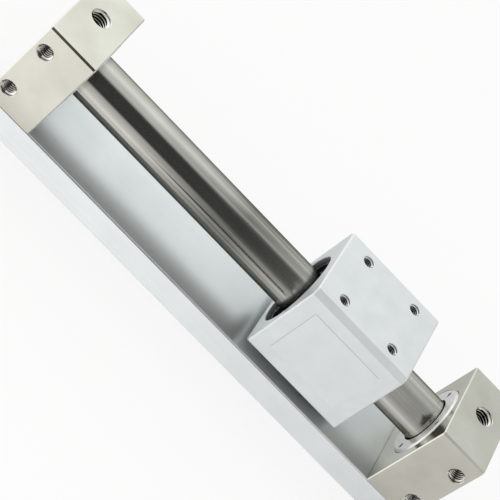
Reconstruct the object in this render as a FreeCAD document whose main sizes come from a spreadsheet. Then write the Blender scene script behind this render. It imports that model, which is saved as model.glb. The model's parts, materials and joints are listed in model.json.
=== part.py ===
"""Magnetic rodless cylinder with a switch rail: a slider that rides on a closed tube and follows
the magnets of a piston inside it.

X runs along the tube, +Z is up and the load face of the slider points that way. The origin is the
middle of the rail's underside. Sizes are in millimetres. Left is -X and right is +X, seen from the
front, which is the -Y side.
"""
import FreeCAD, Part
import Sketcher
import os
import re

MAGNETS = 3
YOKES = MAGNETS + 1
SPANNER_HOLES = 4

# Driving sizes, one cell each.
SIZES = {
    # travel
    "stroke": 80.0,
    "end_clearance": 1.2,
    "rest_gap": 14.6,
    "stop_gap": 0.25,
    "running_fit": 0.05,
    "seat_fit": 0.05,
    # tube
    "tube_diameter": 12.0,
    "tube_wall": 1.0,
    "tube_end_chamfer": 0.3,
    "tube_groove_depth": 0.4,
    # end covers
    "cover_length": 13.4,
    "cover_width": 26.0,
    "cover_above_axis": 12.1,
    "cover_below_axis": 14.4,
    "cover_chamfer": 0.45,
    "edge_break": 0.25,
    "end_wall": 3.8,
    "chamber_diameter": 7.4,
    # tube ring, tube clip and tube seal in each cover
    "ring_diameter": 20.0,
    "ring_thickness": 2.25,
    "ring_proud": 0.25,
    "ring_chamfer": 0.5,
    "ring_hole_gap": 0.4,
    "recess_lead": 0.3,
    "spanner_hole": 1.5,
    "spanner_turn": 42.0,
    "tube_clip_thickness": 0.8,
    "tube_clip_width": 1.4,
    "tube_clip_opening": 4.0,
    "seal_section": 1.1,
    "seal_groove_width": 1.3,
    "seal_land": 0.8,
    "seat_land": 0.6,
    # air ports
    "port_diameter": 5.0,
    "port_rim": 5.3,
    "port_passage": 3.0,
    "port_offset": 1.5,
    "port_edge": 0.14,
    "port_floor_wall": 0.46,
    # holes that fasten the covers
    "foot_hole": 4.0,
    "foot_hole_rim": 4.3,
    "foot_hole_depth": 6.0,
    "foot_hole_spacing": 14.6,
    "foot_hole_drop": 1.6,
    "foot_hole_setback": 3.0,
    # switch rail
    "rail_thickness": 7.2,
    "rail_chamfer": 0.35,
    "slot_mouth": 5.4,
    "slot_width": 8.6,
    "slot_lip": 1.6,
    "slot_depth": 4.6,
    "shield_width": 7.0,
    "shield_thickness": 0.5,
    # rail screws
    "screw_diameter": 3.0,
    "screw_head": 5.5,
    "screw_head_height": 3.0,
    "screw_sink": 0.2,
    "screw_length": 10.0,
    "screw_spacing": 18.0,
    "screw_setback": 5.2,
    "screw_clearance": 0.2,
    "screw_spare_depth": 0.8,
    "socket_corners": 2.9,
    "socket_depth": 1.5,
    # slider
    "slider_length": 29.0,
    "slider_width": 25.6,
    "slider_above_axis": 14.0,
    "slider_below_axis": 11.9,
    "slider_chamfer": 1.4,
    "slider_edge_break": 0.3,
    "slider_bore": 18.6,
    "slider_recess": 20.6,
    "slider_recess_lead": 0.25,
    "load_hole": 3.0,
    "load_hole_rim": 3.2,
    "load_hole_depth": 4.5,
    "load_hole_row": 15.5,
    "load_hole_column": 16.0,
    # retaining clips of the slider
    "slider_clip_setback": 1.2,
    "slider_clip_thickness": 1.0,
    "slider_clip_width": 1.7,
    "slider_groove_depth": 0.5,
    "lug_radius": 1.35,
    "lug_hole": 1.2,
    "lug_circle": 17.2,
    "clip_opening": 1.6,
    "clip_turn": 194.0,
    # magnets, and the guides at the ends of the slider
    "magnet_length": 3.6,
    "yoke_length": 1.2,
    "magnet_gap": 0.4,
    "holder_land": 0.5,
    "wear_ring_wall": 0.8,
    "scraper_length": 1.4,
    "scraper_wall": 2.0,
    "scraper_proud": 0.5,
    "lip_thickness": 0.4,
    "lip_slope": 0.6,
    "switch_magnet_diameter": 5.0,
    "switch_magnet_height": 1.4,
    # piston
    "shaft_diameter": 3.0,
    "shaft_end": 0.3,
    "piston_magnet_gap": 0.4,
    "piston_gap": 0.15,
    "piston_wear_wall": 0.8,
    "piston_wear_length": 2.6,
    "piston_seal_length": 2.2,
    "piston_seal_depth": 1.7,
    "piston_seal_lip": 0.6,
    "piston_seal_notch": 1.1,
    "bumper_length": 3.15,
    "bumper_wall": 1.1,
    "bumper_gap": 0.5,
    "nut_corners": 6.35,
    "nut_height": 2.4,
}

# Values worked out from the driving sizes.
WORKED_OUT = {
    "tube_radius": "tube_diameter / 2",
    "bore_radius": "tube_radius - tube_wall",
    "axis_height": "rail_thickness + cover_below_axis",
    "slider_half": "slider_length / 2",
    "inner_half": "stroke / 2 + slider_half + end_clearance",
    "outer_half": "inner_half + cover_length",
    "rest": "inner_half - rest_gap - slider_half",
    # depths in a cover, from its inner face
    "ring_end": "ring_thickness - ring_proud",
    "clip_end": "ring_end + tube_clip_thickness",
    "seal_start": "clip_end + seal_land",
    "seal_end": "seal_start + seal_groove_width",
    "tube_seat": "seal_end + seat_land",
    "chamber_end": "cover_length - end_wall",
    "port_place": "tube_seat + port_passage / 2 + port_edge",
    "foot_hole_place": "cover_length - foot_hole_setback",
    # radii about the tube in a cover
    "tube_hole_radius": "tube_radius + seat_fit",
    "ring_recess_radius": "ring_diameter / 2 + seat_fit",
    "ring_hole_radius": "tube_radius + ring_hole_gap",
    "spanner_radius": "(ring_hole_radius + ring_diameter / 2) / 2",
    "tube_groove_radius": "tube_radius - tube_groove_depth",
    "tube_clip_radius": "tube_groove_radius + tube_clip_width",
    "seal_groove_radius": "tube_hole_radius + seal_section",
    # reach of the tube, depth of the ports, and the rail with its screws
    "tube_half": "inner_half + tube_seat",
    "port_depth": "cover_above_axis - seal_groove_radius - port_floor_wall",
    "rail_width": "cover_width",
    "screw_place": "inner_half + screw_setback",
    "screw_seat": "screw_sink + screw_head_height",
    "screw_grip": "screw_seat + screw_length - rail_thickness",
    # places in the slider, from its middle
    "stack_half": f"({MAGNETS} * magnet_length + {YOKES} * yoke_length) / 2",
    "slider_clip_out": "slider_half - slider_clip_setback",
    "slider_clip_in": "slider_clip_out - slider_clip_thickness",
    "holder_length": "slider_clip_in - stack_half",
    "wear_ring_length": "holder_length - holder_land - scraper_length",
    "slider_groove_radius": "slider_recess / 2 + slider_groove_depth",
    "slider_clip_radius": "slider_groove_radius - seat_fit",
    "wear_ring_radius": "tube_radius + running_fit + wear_ring_wall",
    "scraper_radius": "tube_radius + scraper_wall",
    "lip_radius": "tube_radius + running_fit",
    "lug_place": "clip_opening / 2 + lug_radius",
    # piston
    "shaft_radius": "shaft_diameter / 2",
    "piston_half": "slider_half + end_clearance + tube_seat - stop_gap",
    "piston_length": "piston_half - stack_half - bumper_length",
    "piston_land": "(piston_length - piston_wear_length - piston_seal_length) / 3",
    "piston_radius": "bore_radius - piston_gap",
    "piston_sweep": "bore_radius - running_fit",
    "piston_seal_place": "2 * piston_land + piston_wear_length",
    "piston_seal_floor": "piston_sweep - piston_seal_depth",
    "bumper_radius": "bore_radius - bumper_gap",
}

doc = FreeCAD.newDocument("magnetic_rodless_cylinder")
sheet = doc.addObject("Spreadsheet::Sheet", "Sizes")
for row, (name, size) in enumerate(SIZES.items(), start=1):
    sheet.set(f"A{row}", name)
    sheet.set(f"B{row}", str(size))
    sheet.setAlias(f"B{row}", name)
doc.recompute()

pieces = []


def formula(text):
    """Writes a text of named values as an expression on the sheet's cells."""
    def cell(match):
        word = match.group()
        if word in WORKED_OUT:
            return f"({formula(WORKED_OUT[word])})"
        return f"Sizes.{word}"
    return re.sub(r"[a-z_]+", cell, text)


def bind(thing, setting, text):
    """Ties one setting of an object to named values."""
    thing.setExpression(setting, formula(text))


def piece(thing):
    """Counts an object among the separate pieces of the cylinder."""
    pieces.append(thing)
    return thing


def put(thing, along="0", up="axis_height"):
    """Places an object on the X axis line at the given height."""
    if along != "0":
        bind(thing, "Placement.Base.x", along)
    if up != "0":
        bind(thing, "Placement.Base.z", up)
    return thing


def origin_part(body, role):
    """Finds a plane or an axis of a body's own origin."""
    return next(part for part in body.Origin.OriginFeatures if part.Role == role)


def new_sketch(body, plane, offset="0"):
    """Starts a sketch on one of the body's planes, moved along the plane's normal."""
    sketch = body.newObject("Sketcher::SketchObject", f"{body.Name}_sketch")
    sketch.AttachmentSupport = (origin_part(body, plane), [""])
    sketch.MapMode = "FlatFace"
    if offset != "0":
        bind(sketch, "AttachmentOffset.Base.z", offset)
    return sketch


def pin(sketch, element, end, across, up):
    """Fixes a sketch point by its two distances from the sketch's origin.

    A distance of 0 puts the point on that axis, and a leading minus measures the other way.
    """
    for kind, axis, distance in (("DistanceX", -2, across), ("DistanceY", -1, up)):
        if distance == "0":
            sketch.addConstraint(Sketcher.Constraint("PointOnObject", element, end, axis))
            continue
        ends = (-1, 1, element, end)
        if distance.startswith("-"):
            ends = (element, end, -1, 1)
            distance = distance[1:]
        first_guess = float(element + 1)
        number = sketch.addConstraint(Sketcher.Constraint(kind, *ends, first_guess))
        bind(sketch, f"Constraints[{number}]", distance)


def add_outline(sketch, points):
    """Draws a closed outline through points given as two distances each."""
    corners = [FreeCAD.Vector(number + 1, (number + 1) ** 2, 0) for number in range(len(points))]
    for number, corner in enumerate(corners):
        sketch.addGeometry(Part.LineSegment(corner, corners[(number + 1) % len(corners)]))
    for number in range(len(points)):
        following = (number + 1) % len(points)
        sketch.addConstraint(Sketcher.Constraint("Coincident", number, 2, following, 1))
    for number, (across, up) in enumerate(points):
        pin(sketch, number, 1, across, up)
    return sketch


def add_circle(sketch, across, up, radius):
    """Draws a circle about a point given as two distances."""
    number = sketch.addGeometry(Part.Circle(FreeCAD.Vector(1, 1, 0), FreeCAD.Vector(0, 0, 1), 1))
    pin(sketch, number, 3, across, up)
    size = sketch.addConstraint(Sketcher.Constraint("Radius", number, 1.0))
    bind(sketch, f"Constraints[{size}]", radius)
    return sketch


def both_ends(points):
    """Adds the mirror image of an outline's right half, so that it runs from the left end."""
    left = [(across if across == "0" else f"-({across})", up) for across, up in reversed(points)]
    return left + points


def add_feature(body, kind, sketch, **settings):
    """Adds a feature that reads a sketch; text settings are tied to named values."""
    doc.recompute()
    before = body.Shape.Volume if body.Tip else 0.0
    feature = body.newObject(f"PartDesign::{kind}", f"{body.Name}_{kind.lower()}")
    feature.Profile = sketch
    for setting, value in settings.items():
        if setting in ("Length", "Diameter", "Depth", "HoleCutDiameter", "HoleCutDepth"):
            bind(feature, setting, value)
        else:
            setattr(feature, setting, value)
    doc.recompute()
    if abs(body.Shape.Volume - before) < 1e-6:
        raise ValueError(f"{feature.Name} changes nothing")
    return feature


def turn(body, points, kind="Revolution"):
    """Turns an outline of places along X and radii about the body's X axis."""
    sketch = add_outline(new_sketch(body, "XZ_Plane"), points)
    return add_feature(body, kind, sketch, ReferenceAxis=(sketch, ["H_Axis"]), Angle=360.0)


def turned_piece(label, points, along):
    """Makes a round piece from its half section."""
    body = piece(doc.addObject("PartDesign::Body", label))
    turn(body, points)
    return put(body, along)


def ring_piece(label, length, inner, outer, along):
    """Makes a plain ring that starts at a place along X."""
    return turned_piece(label, [("0", inner), ("0", outer), (length, outer), (length, inner)], along)


def drill(body, sketch, diameter, depth, rim, upwards=False):
    """Drills blind holes with a countersunk rim at the circles of a sketch."""
    return add_feature(body, "Hole", sketch, DepthType="Dimension", Diameter=diameter, Depth=depth,
                       DrillPoint="Flat", HoleCutType="Countersink", HoleCutDiameter=rim,
                       HoleCutCountersinkAngle=90.0, Reversed=upwards)


def break_edges(body, size, chosen):
    """Chamfers the edges that a test picks from the body's last feature."""
    doc.recompute()
    base = body.Tip
    names = [f"Edge{number}" for number, edge in enumerate(base.Shape.Edges, start=1) if chosen(edge)]
    chamfer = body.newObject("PartDesign::Chamfer", f"{body.Name}_edges")
    chamfer.Base = (base, names)
    bind(chamfer, "Size", size)
    doc.recompute()
    return chamfer


def across_x(edge):
    """Tells whether an edge lies in a plane square to X."""
    return edge.BoundBox.XLength < 1e-6


def mirrored(label, source, plane="0"):
    """Makes the left-hand twin of a right-hand piece."""
    twin = piece(doc.addObject("Part::Mirroring", label))
    twin.Source = source
    twin.Normal = (1, 0, 0)
    if plane != "0":
        bind(twin, "Base.x", plane)
    return twin


def make_tube():
    """Drawn tube with turned grooves for the clips near its two ends."""
    right = [
        ("inner_half + ring_end", "tube_radius"),
        ("inner_half + ring_end", "tube_groove_radius"),
        ("inner_half + clip_end", "tube_groove_radius"),
        ("inner_half + clip_end", "tube_radius"),
        ("tube_half - tube_end_chamfer", "tube_radius"),
        ("tube_half", "tube_radius - tube_end_chamfer"),
        ("tube_half", "bore_radius"),
    ]
    turned_piece("cylinder_tube", both_ends(right), "0")


def make_covers():
    """End covers: a block with a stepped bore for the tube, an air port and tapped holes."""
    body = piece(doc.addObject("PartDesign::Body", "right_end_cover"))
    side = "cover_width / 2"
    block = add_outline(new_sketch(body, "YZ_Plane"), [
        ("-(cover_width / 2)", "-cover_below_axis"),
        (side, "-cover_below_axis"),
        (side, "cover_above_axis - cover_chamfer"),
        ("cover_width / 2 - cover_chamfer", "cover_above_axis"),
        ("-(cover_width / 2 - cover_chamfer)", "cover_above_axis"),
        ("-(cover_width / 2)", "cover_above_axis - cover_chamfer"),
    ])
    add_feature(body, "Pad", block, Length="cover_length")
    break_edges(body, "edge_break", across_x)
    turn(body, [
        ("0", "0"),
        ("0", "ring_recess_radius + recess_lead"),
        ("recess_lead", "ring_recess_radius"),
        ("ring_end", "ring_recess_radius"),
        ("ring_end", "tube_clip_radius + seat_fit"),
        ("clip_end", "tube_clip_radius + seat_fit"),
        ("clip_end", "tube_hole_radius"),
        ("seal_start", "tube_hole_radius"),
        ("seal_start", "seal_groove_radius"),
        ("seal_end", "seal_groove_radius"),
        ("seal_end", "tube_hole_radius"),
        ("tube_seat", "tube_hole_radius"),
        ("tube_seat", "chamber_diameter / 2"),
        ("chamber_end", "chamber_diameter / 2"),
        ("chamber_end", "0"),
    ], kind="Groove")

    top = new_sketch(body, "XY_Plane", "cover_above_axis")
    add_circle(top, "port_place", "port_offset", "port_diameter / 2")
    drill(body, top, "port_diameter", "port_depth", "port_rim")
    passage = new_sketch(body, "XY_Plane", "cover_above_axis")
    add_circle(passage, "port_place", "port_offset", "port_passage / 2")
    add_feature(body, "Pocket", passage, Length="cover_above_axis")

    front = new_sketch(body, "XZ_Plane", "cover_width / 2")
    upper = "foot_hole_spacing / 2 - foot_hole_drop"
    lower = "-(foot_hole_spacing / 2 + foot_hole_drop)"
    for height in (upper, lower):
        add_circle(front, "foot_hole_place", height, "foot_hole / 2")
    drill(body, front, "foot_hole", "foot_hole_depth", "foot_hole_rim")

    under = new_sketch(body, "XY_Plane", "-cover_below_axis")
    for across in ("screw_spacing / 2", "-(screw_spacing / 2)"):
        add_circle(under, "screw_setback", across, "screw_diameter / 2 + seat_fit")
    add_feature(body, "Pocket", under, Length="screw_grip + screw_spare_depth", Reversed=True)
    put(body, "inner_half")
    mirrored("left_end_cover", body)


def make_tube_fittings():
    """What holds and seals the tube in each cover: a spanner ring, a clip and a round seal."""
    ring = turned_piece("right_tube_ring", [
        ("0", "ring_hole_radius"),
        ("0", "ring_diameter / 2 - ring_chamfer"),
        ("ring_chamfer", "ring_diameter / 2"),
        ("ring_thickness", "ring_diameter / 2"),
        ("ring_thickness", "ring_hole_radius"),
    ], "inner_half - ring_proud")
    spot = add_circle(new_sketch(ring, "YZ_Plane"), "0", "spanner_radius", "spanner_hole / 2")
    hole = add_feature(ring, "Pocket", spot, Type="ThroughAll", Reversed=True)
    holes = ring.newObject("PartDesign::PolarPattern", "spanner_holes")
    holes.Originals = [hole]
    holes.Axis = (origin_part(ring, "X_Axis"), [""])
    holes.Angle = 360.0
    holes.Occurrences = SPANNER_HOLES
    ring.Tip = holes
    ring.Placement.Rotation = FreeCAD.Rotation(FreeCAD.Vector(1, 0, 0), 1)
    bind(ring, "Placement.Rotation.Angle", "spanner_turn")
    mirrored("left_tube_ring", ring)

    clip = piece(doc.addObject("PartDesign::Body", "right_tube_clip"))
    hoop = add_circle(new_sketch(clip, "YZ_Plane"), "0", "0", "tube_clip_radius")
    add_circle(hoop, "0", "0", "tube_groove_radius + seat_fit")
    add_feature(clip, "Pad", hoop, Length="tube_clip_thickness")
    cut_opening(clip, "tube_clip_opening / 2", "tube_clip_radius")
    put(clip, "inner_half + ring_end")
    mirrored("left_tube_clip", clip)

    seal = piece(doc.addObject("Part::Torus", "right_tube_seal"))
    bind(seal, "Radius1", "(tube_radius + seal_groove_radius) / 2")
    bind(seal, "Radius2", "seal_section / 2")
    seal.Placement.Rotation = FreeCAD.Rotation(FreeCAD.Vector(0, 1, 0), 90)
    put(seal, "inner_half + (seal_start + seal_end) / 2")
    mirrored("left_tube_seal", seal)


def cut_opening(clip, half_width, reach):
    """Opens a clip's hoop at its top, over a width and up to a radius."""
    sketch = add_outline(new_sketch(clip, "YZ_Plane"), [
        (half_width, "0"),
        (half_width, reach),
        (f"-({half_width})", reach),
        (f"-({half_width})", "0"),
    ])
    return add_feature(clip, "Pocket", sketch, Type="ThroughAll", Reversed=True)


def make_rail():
    """Extruded rail under the covers, with a slot for switches, its shield strip and its screws."""
    body = piece(doc.addObject("PartDesign::Body", "switch_rail"))
    half = [
        ("rail_width / 2 - rail_chamfer", "rail_thickness"),
        ("rail_width / 2", "rail_thickness - rail_chamfer"),
        ("rail_width / 2", "0"),
        ("slot_mouth / 2", "0"),
        ("slot_mouth / 2", "slot_lip"),
        ("slot_width / 2", "slot_lip"),
        ("slot_width / 2", "slot_depth"),
        ("shield_width / 2 + seat_fit", "slot_depth"),
        ("shield_width / 2 + seat_fit", "slot_depth + shield_thickness"),
    ]
    profile = add_outline(new_sketch(body, "YZ_Plane"), both_ends(half))
    add_feature(body, "Pad", profile, Length="2 * outer_half", Midplane=True)
    spots = new_sketch(body, "XY_Plane")
    for along in ("screw_place", "-(screw_place)"):
        for across in ("screw_spacing / 2", "-(screw_spacing / 2)"):
            add_circle(spots, along, across, "screw_diameter / 2")
    add_feature(body, "Hole", spots, DepthType="ThroughAll", Diameter="screw_diameter + 2 * screw_clearance",
                HoleCutType="Counterbore", HoleCutDiameter="screw_head + 2 * screw_clearance",
                HoleCutDepth="screw_seat", Reversed=True)

    strip = piece(doc.addObject("Part::Box", "magnetic_shield_plate"))
    bind(strip, "Length", "2 * outer_half")
    bind(strip, "Width", "shield_width")
    bind(strip, "Height", "shield_thickness")
    bind(strip, "Placement.Base.x", "-outer_half")
    bind(strip, "Placement.Base.y", "-shield_width / 2")
    bind(strip, "Placement.Base.z", "slot_depth")


def make_rail_screws():
    """Socket head screws that hold the rail to the covers, two in each."""
    head = doc.addObject("Part::Cylinder", "screw_head_blank")
    bind(head, "Radius", "screw_head / 2")
    bind(head, "Height", "screw_head_height")
    shank = doc.addObject("Part::Cylinder", "screw_shank")
    bind(shank, "Radius", "screw_diameter / 2")
    bind(shank, "Height", "screw_head_height + screw_length")
    blank = doc.addObject("Part::Fuse", "screw_blank")
    blank.Base = head
    blank.Tool = shank
    socket = doc.addObject("Part::Prism", "screw_socket")
    bind(socket, "Circumradius", "socket_corners / 2")
    bind(socket, "Height", "socket_depth")
    screw = doc.addObject("Part::Cut", "rail_screw")
    screw.Base = blank
    screw.Tool = socket
    bind(screw, "Placement.Base.x", "screw_place")
    bind(screw, "Placement.Base.y", "screw_spacing / 2")
    bind(screw, "Placement.Base.z", "screw_sink")
    group = screw
    for number, normal in enumerate(((0, 1, 0), (1, 0, 0)), start=1):
        twin = doc.addObject("Part::Mirroring", f"screw_mirror_{number}")
        twin.Source = group
        twin.Normal = normal
        pair = doc.addObject("Part::Compound", f"screw_group_{number}")
        pair.Links = [group, twin]
        group = pair
    group.Label = "rail_screws"
    piece(group)


def make_slider_body():
    """Slider block with chamfered edges, a stepped bore, load holes and a magnet pocket below."""
    body = piece(doc.addObject("PartDesign::Body", "slider_body"))
    half = [
        ("slider_width / 2 - slider_chamfer", "slider_above_axis"),
        ("slider_width / 2", "slider_above_axis - slider_chamfer"),
        ("slider_width / 2", "-(slider_below_axis - slider_chamfer)"),
        ("slider_width / 2 - slider_chamfer", "-slider_below_axis"),
    ]
    block = add_outline(new_sketch(body, "YZ_Plane"), both_ends(half))
    add_feature(body, "Pad", block, Length="slider_length", Midplane=True)
    break_edges(body, "slider_edge_break", across_x)
    turn(body, both_ends([
        ("stack_half", "slider_bore / 2"),
        ("stack_half", "slider_recess / 2"),
        ("slider_clip_in", "slider_recess / 2"),
        ("slider_clip_in", "slider_groove_radius"),
        ("slider_clip_out", "slider_groove_radius"),
        ("slider_clip_out", "slider_recess / 2"),
        ("slider_half - slider_recess_lead", "slider_recess / 2"),
        ("slider_half", "slider_recess / 2 + slider_recess_lead"),
        ("slider_half", "0"),
    ]), kind="Groove")
    top = new_sketch(body, "XY_Plane", "slider_above_axis")
    for along in ("load_hole_row / 2", "-(load_hole_row / 2)"):
        for across in ("load_hole_column / 2", "-(load_hole_column / 2)"):
            add_circle(top, along, across, "load_hole / 2")
    drill(body, top, "load_hole", "load_hole_depth", "load_hole_rim")
    under = new_sketch(body, "XY_Plane", "-slider_below_axis")
    add_circle(under, "0", "0", "switch_magnet_diameter / 2 + seat_fit")
    add_feature(body, "Pocket", under, Length="switch_magnet_height", Reversed=True)
    put(body, "rest")

    magnet = piece(doc.addObject("Part::Cylinder", "switch_magnet"))
    bind(magnet, "Radius", "switch_magnet_diameter / 2")
    bind(magnet, "Height", "switch_magnet_height")
    put(magnet, "rest", "axis_height - slider_below_axis")


def make_stack(owner, inner, outer, yoke_outer):
    """Row of ring magnets with a yoke on both sides of each, centred on the slider's middle."""
    for number in range(MAGNETS + YOKES):
        yokes = (number + 1) // 2
        magnets = number // 2
        along = f"rest - stack_half + {yokes} * yoke_length + {magnets} * magnet_length"
        if number % 2:
            ring_piece(f"{owner}_magnet_{magnets + 1}", "magnet_length", inner, outer, along)
        else:
            ring_piece(f"{owner}_yoke_{yokes + 1}", "yoke_length", inner, yoke_outer, along)


def make_slider_guides():
    """Guide at each end of the slider: a holder with a wear ring and a scraper, kept by a clip."""
    start = "rest + stack_half"
    scraper_start = "wear_ring_length + holder_land"
    holder = turned_piece("right_guide_holder", [
        ("0", "wear_ring_radius + seat_fit"),
        ("0", "slider_recess / 2 - seat_fit"),
        ("holder_length", "slider_recess / 2 - seat_fit"),
        ("holder_length", "scraper_radius + seat_fit"),
        (scraper_start, "scraper_radius + seat_fit"),
        (scraper_start, "tube_radius + magnet_gap"),
        ("wear_ring_length", "tube_radius + magnet_gap"),
        ("wear_ring_length", "wear_ring_radius + seat_fit"),
    ], start)
    wear_ring = ring_piece("right_slider_wear_ring", "wear_ring_length", "lip_radius", "wear_ring_radius", start)
    scraper = turned_piece("right_scraper", [
        ("0", "lip_radius + lip_slope"),
        ("0", "scraper_radius"),
        ("scraper_length", "scraper_radius"),
        ("scraper_length", "lip_radius + lip_slope + lip_thickness"),
        ("scraper_length + scraper_proud", "lip_radius + lip_thickness"),
        ("scraper_length + scraper_proud", "lip_radius"),
    ], f"{start} + {scraper_start}")

    clip = piece(doc.addObject("PartDesign::Body", "right_slider_clip"))
    hoop = add_circle(new_sketch(clip, "YZ_Plane"), "0", "0", "slider_clip_radius")
    add_circle(hoop, "0", "0", "slider_clip_radius - slider_clip_width")
    add_feature(clip, "Pad", hoop, Length="slider_clip_thickness")
    for side in ("lug_place", "-lug_place"):
        lug = add_circle(new_sketch(clip, "YZ_Plane"), side, "lug_circle / 2", "lug_radius")
        add_feature(clip, "Pad", lug, Length="slider_clip_thickness")
    cut_opening(clip, "clip_opening / 2", "slider_clip_radius")
    for side in ("lug_place", "-lug_place"):
        eye = add_circle(new_sketch(clip, "YZ_Plane"), side, "lug_circle / 2", "lug_hole / 2")
        add_feature(clip, "Pocket", eye, Type="ThroughAll", Reversed=True)
    clip.Placement.Rotation = FreeCAD.Rotation(FreeCAD.Vector(1, 0, 0), 1)
    bind(clip, "Placement.Rotation.Angle", "clip_turn")
    put(clip, "rest + slider_clip_in")

    mirrored("left_guide_holder", holder, "rest")
    mirrored("left_slider_wear_ring", wear_ring, "rest")
    mirrored("left_scraper", scraper, "rest")
    mirrored("left_slider_clip", clip, "rest")


def make_piston():
    """Shaft, pistons, seals, wear rings, bumpers and nuts of the piston inside the tube."""
    start = "rest + stack_half"
    shaft_half = "stack_half + piston_length + nut_height + shaft_end"
    turned_piece("piston_shaft", both_ends([
        (f"{shaft_half} - shaft_end", "shaft_radius"),
        (shaft_half, "shaft_radius - shaft_end"),
        (shaft_half, "0"),
    ]), "rest")
    piston = turned_piece("right_piston", [
        ("0", "shaft_radius + seat_fit"),
        ("0", "piston_radius"),
        ("piston_land", "piston_radius"),
        ("piston_land", "piston_sweep - piston_wear_wall - seat_fit"),
        ("piston_land + piston_wear_length", "piston_sweep - piston_wear_wall - seat_fit"),
        ("piston_land + piston_wear_length", "piston_radius"),
        ("piston_seal_place", "piston_radius"),
        ("piston_seal_place", "piston_seal_floor - seat_fit"),
        ("piston_seal_place + piston_seal_length", "piston_seal_floor - seat_fit"),
        ("piston_seal_place + piston_seal_length", "piston_radius"),
        ("piston_length", "piston_radius"),
        ("piston_length", "shaft_radius + seat_fit"),
    ], start)
    wear_ring = ring_piece("right_piston_wear_ring", "piston_wear_length", "piston_sweep - piston_wear_wall",
                           "piston_sweep", f"{start} + piston_land")
    seal = turned_piece("right_piston_seal", [
        ("0", "piston_seal_floor"),
        ("0", "piston_radius"),
        ("piston_seal_length", "piston_sweep"),
        ("piston_seal_length", "piston_sweep - piston_seal_lip"),
        ("piston_seal_notch", "piston_sweep - piston_seal_depth / 2"),
        ("piston_seal_length", "piston_seal_floor + piston_seal_lip"),
        ("piston_seal_length", "piston_seal_floor"),
    ], f"{start} + piston_seal_place")
    bumper = ring_piece("right_bumper", "bumper_length", "bumper_radius - bumper_wall", "bumper_radius",
                        f"{start} + piston_length")
    for source in (piston, wear_ring, seal, bumper):
        mirrored(source.Label.replace("right", "left"), source, "rest")

    blank = doc.addObject("Part::Prism", "nut_blank")
    bind(blank, "Circumradius", "nut_corners / 2")
    bind(blank, "Height", "nut_height")
    hole = doc.addObject("Part::Cylinder", "nut_hole")
    bind(hole, "Radius", "shaft_radius + seat_fit")
    bind(hole, "Height", "nut_height")
    nut = doc.addObject("Part::Cut", "piston_nut")
    nut.Base = blank
    nut.Tool = hole
    nut.Placement.Rotation = FreeCAD.Rotation(FreeCAD.Vector(0, 1, 0), 90)
    put(nut, f"{start} + piston_length")
    twin = doc.addObject("Part::Mirroring", "piston_nut_twin")
    twin.Source = nut
    twin.Normal = (1, 0, 0)
    bind(twin, "Base.x", "rest")
    nuts = piece(doc.addObject("Part::Compound", "piston_nuts"))
    nuts.Links = [nut, twin]


make_tube()
make_covers()
make_tube_fittings()
make_rail()
make_rail_screws()
make_slider_body()
make_stack("slider", "tube_radius + magnet_gap", "slider_bore / 2 - seat_fit", "slider_bore / 2 - seat_fit")
make_slider_guides()
make_stack("piston", "shaft_radius + seat_fit", "bore_radius - piston_magnet_gap", "piston_radius")
make_piston()
doc.recompute()

for thing in doc.Objects:
    if {"Invalid", "Error"} & set(thing.State):
        raise RuntimeError(f"{thing.Name} failed: {thing.State}")
for thing in pieces:
    if thing.Shape.isNull() or not thing.Shape.isValid():
        raise RuntimeError(f"{thing.Label} has no valid shape")

os.makedirs("parts", exist_ok=True)
for thing in pieces:
    thing.Shape.exportStep(f"parts/{thing.Label}.step")
    print(f"{thing.Label}: {len(thing.Shape.Solids)} solid(s), {thing.Shape.Volume:.1f} mm3")
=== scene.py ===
"""Looks of a magnetic rodless cylinder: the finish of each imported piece, the turns of the threads in
its tapped holes, the bare label on its slider, and a plain studio round it.

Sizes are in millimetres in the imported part's own frame: X runs along the tube and +Z is up.
"""

import json
import logging
import math
from collections.abc import Callable
from dataclasses import dataclass
from enum import Enum
from typing import Any

import bpy
from mathutils import Matrix, Vector


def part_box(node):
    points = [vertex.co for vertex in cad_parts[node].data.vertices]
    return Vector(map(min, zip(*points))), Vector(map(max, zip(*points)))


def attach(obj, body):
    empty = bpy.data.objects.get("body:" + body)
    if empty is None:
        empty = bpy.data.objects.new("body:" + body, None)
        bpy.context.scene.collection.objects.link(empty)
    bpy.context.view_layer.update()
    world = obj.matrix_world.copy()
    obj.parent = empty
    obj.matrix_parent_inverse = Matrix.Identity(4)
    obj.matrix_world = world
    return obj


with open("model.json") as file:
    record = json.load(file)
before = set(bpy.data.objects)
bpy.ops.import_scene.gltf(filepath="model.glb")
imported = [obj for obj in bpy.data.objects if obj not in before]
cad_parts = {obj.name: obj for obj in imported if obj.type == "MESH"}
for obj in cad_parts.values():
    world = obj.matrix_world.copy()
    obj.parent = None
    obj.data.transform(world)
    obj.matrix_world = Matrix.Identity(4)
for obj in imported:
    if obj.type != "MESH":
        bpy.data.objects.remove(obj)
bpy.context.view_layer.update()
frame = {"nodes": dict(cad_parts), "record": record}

Tree = bpy.types.NodeTree
Socket = bpy.types.NodeSocket
Piece = bpy.types.Object
Stops = tuple[tuple[float, float], ...]
Inputs = dict[str | int, Any]

LOG = logging.getLogger("rodless_cylinder")
MM = 0.001
# Colour of the painted shade in narrow gaps, in corners and next to other parts.
PAINTED_SHADE = "#2A281B"
# Colour of the painted shade on the tube's top, front and lower side.
TUBE_SHADE = "#5A5A55"

# Levels between which nearly all of a noise texture lies.
NOISE_SPAN = {"From Min": 0.3, "From Max": 0.7}
# Finer sizes of cloud in each cloudy patch.
PATCH_OCTAVES = 4.0
# Rays with which a material feels for its edges and gaps.
FEELERS = 8
# Cosine of the bend at which the rubbing and the painted highlight of an edge begin.
WEAR_AND_HIGHLIGHT_BEGINS = 0.99
# Share of the smoothest roughness that is left on a worn edge.
EDGE_POLISH = 0.5
# Share of open sky at which the painted shade in a gap is full.
GAP_SKY = 0.2
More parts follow.
